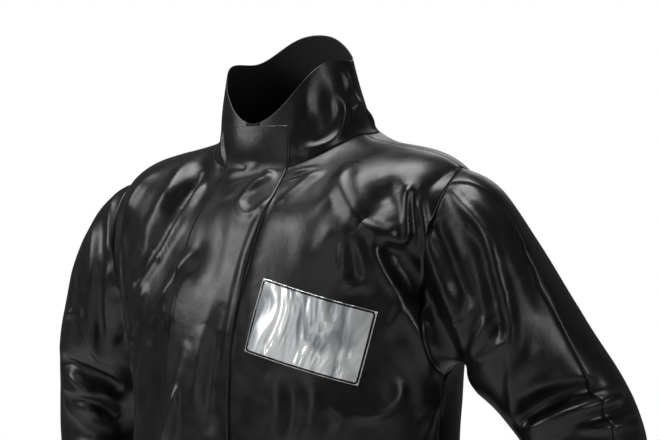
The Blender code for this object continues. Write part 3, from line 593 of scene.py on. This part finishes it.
def sewn(piece, name, wall, outer, inner, replaced):
    """Makes a bmesh of cloth an object with a wall, which rides on the suit and stands for its CAD node."""
    mesh = bpy.data.meshes.new(name)
    piece.to_mesh(mesh)
    piece.free()
    mesh.materials.append(outer)
    mesh.materials.append(inner)
    made = bpy.data.objects.new(name, mesh)
    bpy.context.scene.collection.objects.link(made)
    thick = made.modifiers.new("wall", "SOLIDIFY")
    thick.thickness = wall
    thick.offset = -1
    thick.material_offset = 1
    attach(made, "root")
    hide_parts(replaced)
    return made


# How each piece was cut from flat cloth: its width, length and area in m and m2, and what it hangs from
Cut = namedtuple("Cut", "piece width length area hangs_from")
JACKET_CUTS = (
    Cut("back", 0.64, 0.78, 0.428, ()),
    Cut("front_left", 0.34, 0.76, 0.225, ("back",)),
    Cut("front_right", 0.30, 0.76, 0.192, ("back",)),
    Cut("zip_tape", 0.02, 0.75, 0.0149, ("front_right",)),
    Cut("collar", 0.46, 0.13, 0.048, ("back", "front_left", "front_right")),
    Cut("sleeve_front_left", 0.22, 0.60, 0.101, ("front_left", "back")),
    Cut("sleeve_back_left", 0.28, 0.62, 0.140, ("back",)),
    Cut("sleeve_front_right", 0.22, 0.60, 0.101, ("front_right", "back")),
    Cut("sleeve_back_right", 0.28, 0.62, 0.140, ("back",)),
)
CLOTH = 1.0 * MM
for place_in, cut in enumerate(JACKET_CUTS):
    piece = cut_from(jacket, (place_in, place_in + len(JACKET)))
    is_zip = cut.piece == "zip_tape"
    outer, slot = (knit, "zip_tape") if is_zip else (coated, "coated_cloth")
    made = sewn(piece, cut.piece + "_cloth", CLOTH, outer, knit, cut.piece)

# The storm flap: a doubled strip of the same cloth, sewn to the right front beside the zip, which lies over
# the zip and the edge of the left front. Its free edge stands a little off the jacket.
FLAP_TOP = 12 * MM
FLAP_WALL = 0.9 * MM
SEWN_LIFT = 0.3 * MM
FREE_LIFT = 0.1 * MM
LAID_WITHIN, FREE_FROM = 0.25, 0.8
FLAP_ROW = 6 * MM
flap = cut_from(jacket, tuple(range(len(JACKET), 2 * len(JACKET))))
bmesh.ops.bisect_plane(
    flap,
    geom=flap.verts[:] + flap.edges[:] + flap.faces[:],
    dist=0.00001,
    plane_co=(0, 0, FLAP_TOP),
    plane_no=(0, 0, 1),
    clear_outer=True,
)
flap.normal_update()
by_height = {}
for vert in flap.verts:
    by_height.setdefault(round(vert.co.z / FLAP_ROW), []).append(vert.co.x)
outwards = {}
for vert in flap.verts:
    row = by_height[round(vert.co.z / FLAP_ROW)]
    share = (vert.co.x - min(row)) / max(max(row) - min(row), MM)
    laid = min(share / LAID_WITHIN, 1)
    free = max((share - FREE_FROM) / (1 - FREE_FROM), 0)
    outwards[vert] = SEWN_LIFT + FLAP_WALL * laid**2 * (3 - 2 * laid) + FREE_LIFT * free**2
moved = [(vert, vert.co + vert.normal * outwards[vert]) for vert in flap.verts]
for vert, spot in moved:
    vert.co = spot
flap_cloth = sewn(flap, "storm_flap_cloth", FLAP_WALL, coated, coated, "storm_flap")

# The chest panel: shiny silver film on thin cloth, sewn on the left front, with a black line printed just
# inside its edge. It is bare, and its film is crumpled in soft upright waves. The waves are also painted into
# its colour as lighter and darker streaks, which are painted highlights and painted shade of the crumples.
METALLIC = 0.3
film, tree, shader = finish_of("silver_reflective_film", "dfe2e4", 0.27, metallic=METALLIC)
place = node(tree, "ShaderNodeTexCoord")
turned = node(tree, "ShaderNodeMapping", [("Vector", place, "Object")], vector_type="TEXTURE")
turned.inputs["Location"].default_value = PANEL_CENTRE
axes = (panel_across, panel_up.cross(panel_across) * -1, panel_up)
turned.inputs["Rotation"].default_value = Matrix(axes).transposed().to_euler()
split = node(tree, "ShaderNodeSeparateXYZ", [("Vector", turned, "Vector")])
LINE_INSET, LINE_WIDTH, CORNER = 1.8 * MM, 2.4 * MM, 3.5 * MM


def outside(axis, half):
    """How far a point lies past the straight stretch of the printed line, along one axis of the panel."""
    far = node(tree, "ShaderNodeMath", [(0, split, axis)], operation="ABSOLUTE")
    gone = node(tree, "ShaderNodeMath", [(0, far, 0)], operation="SUBTRACT", in_1=half - LINE_INSET - CORNER)
    return gone


gone_x, gone_y = outside("X", PANEL_WIDTH / 2), outside("Z", PANEL_HEIGHT / 2)
kept_x = node(tree, "ShaderNodeMath", [(0, gone_x, 0)], operation="MAXIMUM", in_1=0.0)
kept_y = node(tree, "ShaderNodeMath", [(0, gone_y, 0)], operation="MAXIMUM", in_1=0.0)
both = node(tree, "ShaderNodeCombineXYZ", [("X", kept_x, 0), ("Y", kept_y, 0)])
length = node(tree, "ShaderNodeVectorMath", [(0, both, 0)], operation="LENGTH")
larger = node(tree, "ShaderNodeMath", [(0, gone_x, 0), (1, gone_y, 0)], operation="MAXIMUM")
inner = node(tree, "ShaderNodeMath", [(0, larger, 0)], operation="MINIMUM", in_1=0.0)
edge = node(tree, "ShaderNodeMath", [(0, length, "Value"), (1, inner, 0)], operation="ADD")
line = node(
    tree, "ShaderNodeMath", [(0, edge, 0)], operation="COMPARE", in_1=CORNER, in_2=LINE_WIDTH / 2
)
stretched = node(tree, "ShaderNodeMapping", [("Vector", turned, "Vector")], in_Scale=(1.0, 1.0, 0.45))
waves = node(tree, "ShaderNodeTexNoise", [("Vector", stretched, "Vector")], in_Scale=24.0, in_Detail=2.0)
waves.inputs["Distortion"].default_value = 1.4
# The silver colour is mixed lighter and darker along the waves: painted highlights and painted shade of the
# crumples. The same waves also bump the film.
painted_crumple_sheen = node(tree, "ShaderNodeMapRange", [("Value", waves, "Fac")], in_From_Min=0.4, in_From_Max=0.6)
silver = node(tree, "ShaderNodeMix", [("Factor", painted_crumple_sheen, "Result")], data_type="RGBA")
silver.inputs[6].default_value, silver.inputs[7].default_value = linear("a2a7aa"), linear("f6f8f9")
printed = node(tree, "ShaderNodeMix", [("Factor", line, 0), (6, silver, 2)], data_type="RGBA")
printed.inputs[7].default_value = linear("0a0a0b")
tree.links.new(printed.outputs[2], shader.inputs["Base Color"])
metal = node(
    tree, "ShaderNodeMath", [(0, line, 0)], operation="MULTIPLY_ADD", in_1=-METALLIC, in_2=METALLIC
)
tree.links.new(metal.outputs[0], shader.inputs["Metallic"])
crumple = node(tree, "ShaderNodeBump", [("Height", waves, "Fac")], in_Strength=1.0, in_Distance=0.013)
tree.links.new(crumple.outputs["Normal"], shader.inputs["Normal"])

PANEL_WALL = 0.7 * MM
PANEL_GAP = 0.5 * MM
under_panel = JACKET.index("front_left")
panel = cut_from(jacket, (under_panel, under_panel + len(JACKET)))
sides = (
    (panel_across, PANEL_WIDTH),
    (-panel_across, PANEL_WIDTH),
    (panel_up, PANEL_HEIGHT),
    (-panel_up, PANEL_HEIGHT),
)
for way, size in sides:
    bmesh.ops.bisect_plane(
        panel,
        geom=panel.verts[:] + panel.edges[:] + panel.faces[:],
        dist=0.00001,
        plane_co=PANEL_CENTRE + way * size / 2,
        plane_no=way,
        clear_outer=True,
    )
panel.normal_update()
for vert, spot in [(vert, vert.co + vert.normal * (PANEL_WALL + PANEL_GAP)) for vert in panel.verts]:
    vert.co = spot
panel_film = sewn(panel, "chest_panel_film", PANEL_WALL, film, coated, "chest_panel")

# The trousers: four plain leg panels of the same cloth, sewn at the sides and between the legs under an
# elastic waistband, with soft creases at the knees and falling from them.
TROUSER_CREASES = (
    (0, Crease("knee_1", TROUSERS, 70, -1030, 110, -1052, 176, -1030, 20, 6, KEEN)),
    (0, Crease("knee_2", TROUSERS, 64, -1070, 120, -1086, 170, -1066, 17, 4.8, KEEN)),
    (0, Crease("knee_3", TROUSERS, -176, -1040, -126, -1064, -66, -1036, 20, 6, KEEN)),
    (0, Crease("knee_4", TROUSERS, -170, -1084, -120, -1098, -70, -1080, 17, 4.8, KEEN)),
    (0, Crease("shin_1", TROUSERS, 100, -1160, 112, -1290, 104, -1430, 21, 4.8, SOFT)),
    (0, Crease("shin_2", TROUSERS, -140, -1180, -130, -1300, -138, -1440, 21, 4.8, SOFT)),
    (0, Crease("thigh_1", TROUSERS, 60, -800, 90, -860, 100, -940, 22, 4.8, SOFT)),
    (0, Crease("thigh_2", TROUSERS, -56, -790, -86, -870, -100, -950, 22, 4.8, SOFT)),
    (0, Crease("hem_1", TROUSERS, 70, -1462, 126, -1476, 190, -1458, 17, 4.8, KEEN)),
    (0, Crease("hem_2", TROUSERS, -190, -1466, -130, -1480, -66, -1460, 17, 4.8, KEEN)),
    (180, Crease("knee_5", TROUSERS, 66, -1056, 120, -1070, 176, -1050, 18, 6, KEEN)),
    (180, Crease("knee_6", TROUSERS, -178, -1060, -118, -1076, -64, -1054, 18, 6, KEEN)),
    (180, Crease("seat_1", TROUSERS, -120, -700, -60, -760, -30, -800, 20, 4.8, SOFT)),
    (180, Crease("seat_2", TROUSERS, 120, -706, 64, -764, 34, -806, 20, 4.8, SOFT)),
)
TROUSER_WRINKLE = 1.2
points, out, move = pressed(trousers, TROUSERS, TROUSER_CREASES, TROUSER_WRINKLE)
drawn_in(trousers, len(TROUSERS), points, move)
settle(trousers, points, out, move)
TROUSER_CUTS = (
    Cut("waistband", 0.86, 0.045, 0.0375, ()),
    Cut("trouser_front_left", 0.31, 1.02, 0.256, ("waistband",)),
    Cut("trouser_back_left", 0.31, 1.02, 0.256, ("waistband",)),
    Cut("trouser_front_right", 0.31, 1.02, 0.256, ("waistband",)),
    Cut("trouser_back_right", 0.31, 1.02, 0.256, ("waistband",)),
)
for place_in, cut in enumerate(TROUSER_CUTS):
    piece = cut_from(trousers, (place_in,))
    made = sewn(piece, cut.piece + "_cloth", CLOTH, coated, knit, cut.piece)

# The studio: a pale paper floor under the trousers, a room that the camera sees as white and that lights the
# suit little, and large soft lights round it.
FLOOR_HEIGHT = -1.53
FLOOR_HALF = 5
floor = bpy.data.meshes.new("floor")
ground = bmesh.new()
bmesh.ops.create_grid(ground, x_segments=1, y_segments=1, size=FLOOR_HALF)
ground.to_mesh(floor)
ground.free()
floor_object = bpy.data.objects.new("floor", floor)
bpy.context.scene.collection.objects.link(floor_object)
floor.transform(Matrix.Translation((0, 0, FLOOR_HEIGHT)))
paper, tree, shader = finish_of("studio_paper", "f4f4f4", 0.8)
floor.materials.append(paper)

world = bpy.data.worlds.new("studio")
bpy.context.scene.world = world
world.use_nodes = True
rays = node(world.node_tree, "ShaderNodeLightPath")
room = node(world.node_tree, "ShaderNodeMapRange", [("Value", rays, "Is Camera Ray")], in_To_Min=0.07)
world.node_tree.links.new(room.outputs["Result"], world.node_tree.nodes["Background"].inputs["Color"])
bpy.context.scene.view_settings.view_transform = "Standard"


def softbox(name, azimuth, height, distance, size, power):
    """A square soft light that stands at this azimuth and faces the chest."""
    turn = math.radians(azimuth)
    light = bpy.data.lights.new(name, "AREA")
    light.shape = "RECTANGLE"
    light.size, light.size_y = size
    light.energy = power
    holder = bpy.data.objects.new(name, light)
    bpy.context.scene.collection.objects.link(holder)
    holder.location = (distance * math.sin(turn), -distance * math.cos(turn), height)
    aim = Vector((0, 0, -0.15)) - holder.location
    holder.rotation_euler = aim.to_track_quat("-Z", "Y").to_euler()


softbox("overhead", -45, 2.3, 0.6, (1.7, 1.5), 66)
softbox("left_front", -45, 0.9, 2.6, (1.2, 1.6), 34)
softbox("low_front", -2, -0.3, 2.8, (1.2, 1.5), 5)
softbox("right_front", 85, 0.5, 3.0, (0.8, 1.6), 18)
softbox("behind", 200, 1.4, 2.6, (1.4, 1.4), 8)

# The camera stands at the left front, level with the chest
LENS_MM = 138.7
view = bpy.data.cameras.new("camera")
view.sensor_width = 36
view.lens = LENS_MM
view.shift_x = 0.05
turn = math.radians(PHOTO_SIDE)
camera = bpy.data.objects.new("camera", view)
bpy.context.scene.collection.objects.link(camera)
camera.location = (EYE_DISTANCE * math.sin(turn), -EYE_DISTANCE * math.cos(turn), EYE_HEIGHT)
camera.rotation_euler = (math.radians(90), 0, turn)
bpy.context.scene.camera = camera
